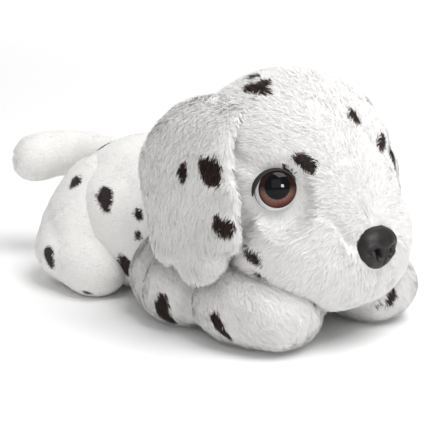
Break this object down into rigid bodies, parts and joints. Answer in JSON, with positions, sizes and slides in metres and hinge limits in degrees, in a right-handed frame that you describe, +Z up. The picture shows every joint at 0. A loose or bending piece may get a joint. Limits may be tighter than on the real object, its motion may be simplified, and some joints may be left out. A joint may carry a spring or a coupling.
{
  "type": "plush dog",
  "caption": "Lying spotted puppy plush with drooping ears, domed eyes, a moulded nose, stuffed legs and a bent tail",
  "frame": {"origin": "on the flat underside of the belly, between the shoulders and the hips", "axes": "+Z up, the dog faces -Y, its left side is +X"},
  "size_m": [0.148, 0.308, 0.152],
  "materials": {
    "long_pile": "long brushed white pile with dark brown spots",
    "short_pile": "short smooth white pile with dark brown spots",
    "fibre_filling": "loose white polyester fibre",
    "pouch_cloth": "thin plain cloth",
    "bean_filling": "small plastic pellets",
    "eye_black": "gloss",
    "eye_iris": "painted",
    "eye_lens": "clear moulded",
    "lid_felt": "black felt",
    "washer_plastic": "moulded",
    "nose_plastic": "satin moulded"
  },
  "bodies": {
    "torso": {"belly_panel": "short_pile", "back_panel_left": "short_pile", "back_panel_right": "short_pile", "torso_stuffing": "fibre_filling", "bean_pouch_top": "pouch_cloth", "bean_pouch_base": "pouch_cloth", "torso_beans": "bean_filling", "neck_sleeve": "long_pile", "neck_stuffing": "fibre_filling"},
    "head": {"crown_gusset": "long_pile", "head_side_left": "long_pile", "head_side_right": "long_pile", "chin_gusset": "long_pile", "head_stuffing": "fibre_filling", "nose": "nose_plastic", "nose_washer": "washer_plastic", "eye_cup_left": "eye_black", "eye_iris_left": "eye_iris", "eye_lens_left": "eye_lens", "eye_lid_left": "lid_felt", "eye_washer_left": "washer_plastic", "eye_cup_right": "eye_black", "eye_iris_right": "eye_iris", "eye_lens_right": "eye_lens", "eye_lid_right": "lid_felt", "eye_washer_right": "washer_plastic"},
    "ear_left": {"ear_outer_left": "long_pile", "ear_lining_left": "long_pile"},
    "foreleg_left": {"foreleg_outer_panel_left": "long_pile", "foreleg_inner_panel_left": "long_pile", "foreleg_stuffing_left": "fibre_filling", "foreleg_beans_left": "bean_filling"},
    "hindleg_left": {"hindleg_outer_panel_left": "short_pile", "hindleg_inner_panel_left": "short_pile", "hindleg_stuffing_left": "fibre_filling", "hindleg_beans_left": "bean_filling"},
    "ear_right": {"ear_outer_right": "long_pile", "ear_lining_right": "long_pile"},
    "foreleg_right": {"foreleg_outer_panel_right": "long_pile", "foreleg_inner_panel_right": "long_pile", "foreleg_stuffing_right": "fibre_filling", "foreleg_beans_right": "bean_filling"},
    "hindleg_right": {"hindleg_outer_panel_right": "short_pile", "hindleg_inner_panel_right": "short_pile", "hindleg_stuffing_right": "fibre_filling", "hindleg_beans_right": "bean_filling"},
    "tail": {"tail_base_sleeve": "short_pile", "tail_tip_sleeve": "short_pile", "tail_stuffing": "fibre_filling"}
  },
  "joints": [
    {"name": "head_nod", "type": "hinge", "parent": "torso", "child": "head", "pos_m": [0, -0.042, 0.062], "axis": [-1, 0, 0], "range_deg": [0, 25]},
    {"name": "ear_left_lift", "type": "hinge", "parent": "head", "child": "ear_left", "pos_m": [0.0537, -0.066, 0.1237], "axis": [0, -1, 0], "range_deg": [0, 70]},
    {"name": "foreleg_left_splay", "type": "hinge", "parent": "torso", "child": "foreleg_left", "pos_m": [0.045, -0.02, 0.024], "axis": [0, 0, 1], "range_deg": [0, 35]},
    {"name": "hindleg_left_splay", "type": "hinge", "parent": "torso", "child": "hindleg_left", "pos_m": [0.04, 0.062, 0.033], "axis": [0, 0, 1], "range_deg": [0, 25]},
    {"name": "ear_right_lift", "type": "hinge", "parent": "head", "child": "ear_right", "pos_m": [-0.0537, -0.066, 0.1237], "axis": [0, 1, 0], "range_deg": [0, 70]},
    {"name": "foreleg_right_splay", "type": "hinge", "parent": "torso", "child": "foreleg_right", "pos_m": [-0.045, -0.02, 0.024], "axis": [0, 0, -1], "range_deg": [0, 35]},
    {"name": "hindleg_right_splay", "type": "hinge", "parent": "torso", "child": "hindleg_right", "pos_m": [-0.04, 0.062, 0.033], "axis": [0, 0, -1], "range_deg": [0, 25]},
    {"name": "tail_wag", "type": "hinge", "parent": "torso", "child": "tail", "pos_m": [0, 0.086, 0.07], "axis": [0, 0, 1], "range_deg": [-25, 12]}
  ]
}
